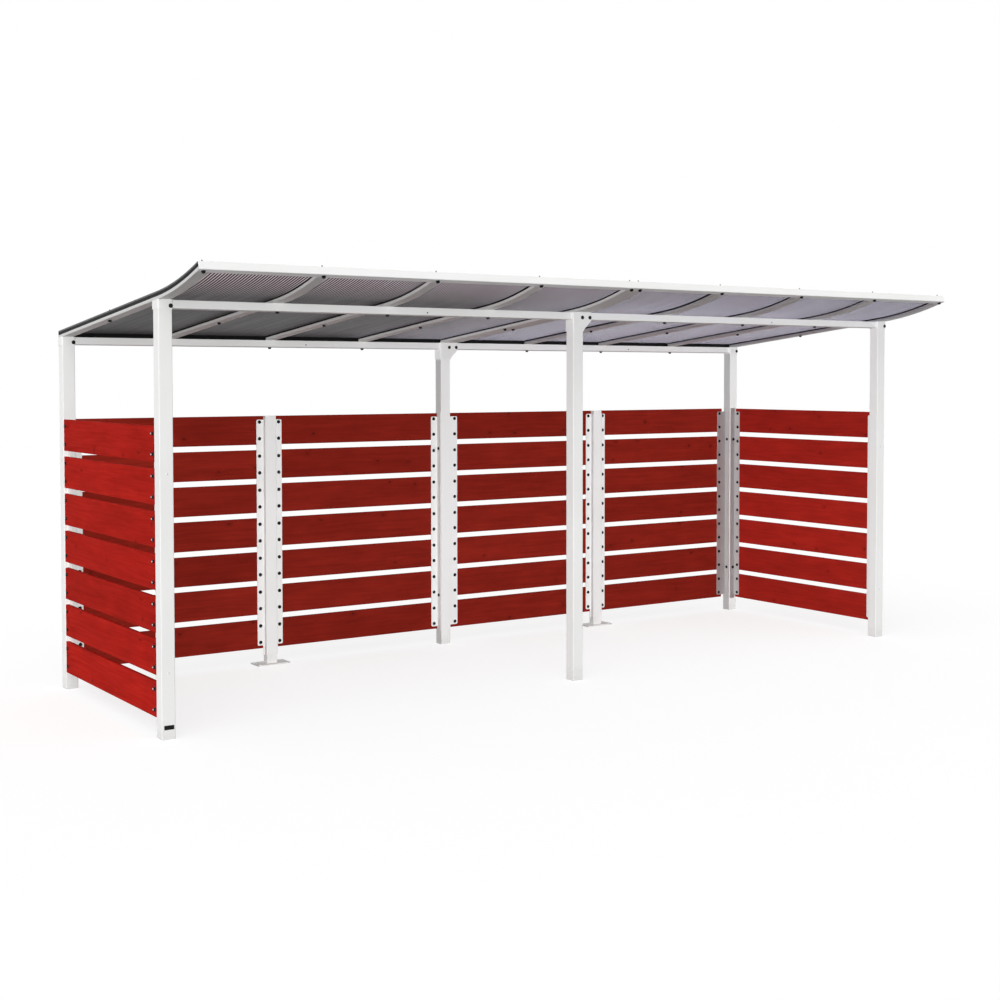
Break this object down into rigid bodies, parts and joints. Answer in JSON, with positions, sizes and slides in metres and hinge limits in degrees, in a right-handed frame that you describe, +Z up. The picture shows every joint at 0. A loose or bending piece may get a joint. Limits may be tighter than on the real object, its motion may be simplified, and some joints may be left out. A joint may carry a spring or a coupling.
{
  "type": "bicycle shelter",
  "caption": "Open-fronted bicycle shelter: steel posts and beams carry a translucent roof swept up at its front edge, with board panels along the back and at both ends.",
  "frame": {"origin": "middle of the footprint on the ground, on the joint between the two roof modules", "axes": "+X along the shelter to the right seen from its open front, +Y from the open front to the back panels, +Z up"},
  "size_m": [5.148, 2.0912, 2.311],
  "materials": {
    "frame_steel": "white powder coat, satin",
    "board_wood": "red stain, satin",
    "roof_sheet": "smoked translucent multiwall sheet",
    "roof_seal": "matt black"
  },
  "bodies": {
    "root": {"beam_front_left": "frame_steel", "beam_front_right": "frame_steel", "beam_rear_left": "frame_steel", "beam_rear_right": "frame_steel", "front_fascia": "frame_steel", "head_bracket_front_left": "frame_steel", "head_bracket_front_middle": "frame_steel", "head_bracket_front_right": "frame_steel", "head_bracket_rear_left": "frame_steel", "head_bracket_rear_middle": "frame_steel", "head_bracket_rear_right": "frame_steel", "panel_back_1": "board_wood", "panel_back_2": "board_wood", "panel_back_3": "board_wood", "panel_back_4": "board_wood", "panel_side_left": "board_wood", "panel_side_right": "board_wood", "post_front_left": "frame_steel", "post_front_middle": "frame_steel", "post_front_right": "frame_steel", "post_rear_left": "frame_steel", "post_rear_middle": "frame_steel", "post_rear_right": "frame_steel", "rafter_left_1": "frame_steel", "rafter_left_2": "frame_steel", "rafter_left_3": "frame_steel", "rafter_left_4": "frame_steel", "rafter_left_5": "frame_steel", "rafter_right_1": "frame_steel", "rafter_right_2": "frame_steel", "rafter_right_3": "frame_steel", "rafter_right_4": "frame_steel", "rafter_right_5": "frame_steel", "rails_front_left": "frame_steel", "rails_front_right": "frame_steel", "rails_rear_left": "frame_steel", "rails_rear_middle": "frame_steel", "rails_rear_right": "frame_steel", "rails_stanchion_left": "frame_steel", "rails_stanchion_right": "frame_steel", "roof_seals": "roof_seal", "roof_sheets_left": "roof_sheet", "roof_sheets_right": "roof_sheet", "stanchion_left": "frame_steel", "stanchion_right": "frame_steel"}
  },
  "joints": []
}
